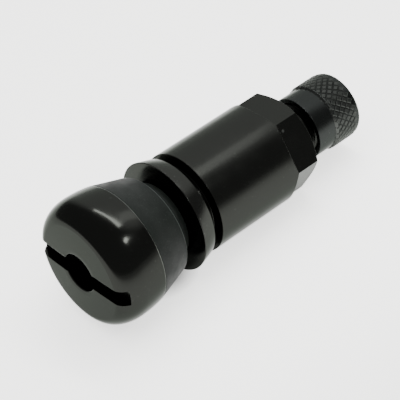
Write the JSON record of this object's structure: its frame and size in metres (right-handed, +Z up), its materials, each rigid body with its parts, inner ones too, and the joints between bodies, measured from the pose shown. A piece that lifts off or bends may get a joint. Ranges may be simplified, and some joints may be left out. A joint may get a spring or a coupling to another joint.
{
  "type": "tyre valve",
  "caption": "Clamp-in tyre valve with a slotted round head, rubber rim seal, washer, long sleeve nut with a hexagon end and a knurled screw cap over its air core.",
  "frame": {"origin": "on the valve's axis, in the plane where the rubber shoulder bears on the wheel rim", "axes": "+X along the axis from the slotted head to the cap, +Y along the screwdriver slot, +Z up, square to two flats of the hexagon"},
  "size_m": [0.0451, 0.0172, 0.0172],
  "materials": {
    "black_anodised_aluminium": "black anodised, semi-gloss",
    "grommet_rubber": "matte moulded",
    "seal_rubber": "matte moulded",
    "core_brass": "turned",
    "spring_steel": "drawn wire"
  },
  "bodies": {
    "valve": {"valve_stem": "black_anodised_aluminium", "rim_grommet": "grommet_rubber", "core_plug": "core_brass", "core_barrel": "core_brass", "core_gasket": "seal_rubber", "core_spring": "spring_steel"},
    "washer": {"clamp_washer": "black_anodised_aluminium"},
    "nut": {"sleeve_nut": "black_anodised_aluminium"},
    "cap_liner": {"cap_seal": "seal_rubber"},
    "cap": {"cap_shell": "black_anodised_aluminium"},
    "pin": {"core_pin": "core_brass", "core_cup": "core_brass", "core_cup_seal": "seal_rubber"}
  },
  "joints": [
    {"name": "nut_travel", "type": "slide", "parent": "valve", "child": "washer", "axis": [1, 0, 0], "range_m": [-0.00038, 0.00187]},
    {"name": "nut_turn", "type": "hinge", "parent": "washer", "child": "nut", "pos_m": [0, 0, 0], "axis": [1, 0, 0], "range_deg": [-180.5, 900.5]},
    {"name": "cap_travel", "type": "slide", "parent": "valve", "child": "cap_liner", "axis": [1, 0, 0], "range_m": [0, 0.00476]},
    {"name": "cap_turn", "type": "hinge", "parent": "cap_liner", "child": "cap", "pos_m": [0, 0, 0], "axis": [1, 0, 0], "range_deg": [-0.5, 2160.5]},
    {"name": "pin_press", "type": "slide", "parent": "valve", "child": "pin", "axis": [-1, 0, 0], "range_m": [0, 0.0015], "stiffness_N_per_m": 800, "springref_m": -0.002, "deforming": ["core_spring"]}
  ],
  "couplings": [
    {"joint": "nut_turn", "follows": "nut_travel", "rad_per_m": 8377.6},
    {"joint": "cap_turn", "follows": "cap_travel", "rad_per_m": 7915.8}
  ]
}
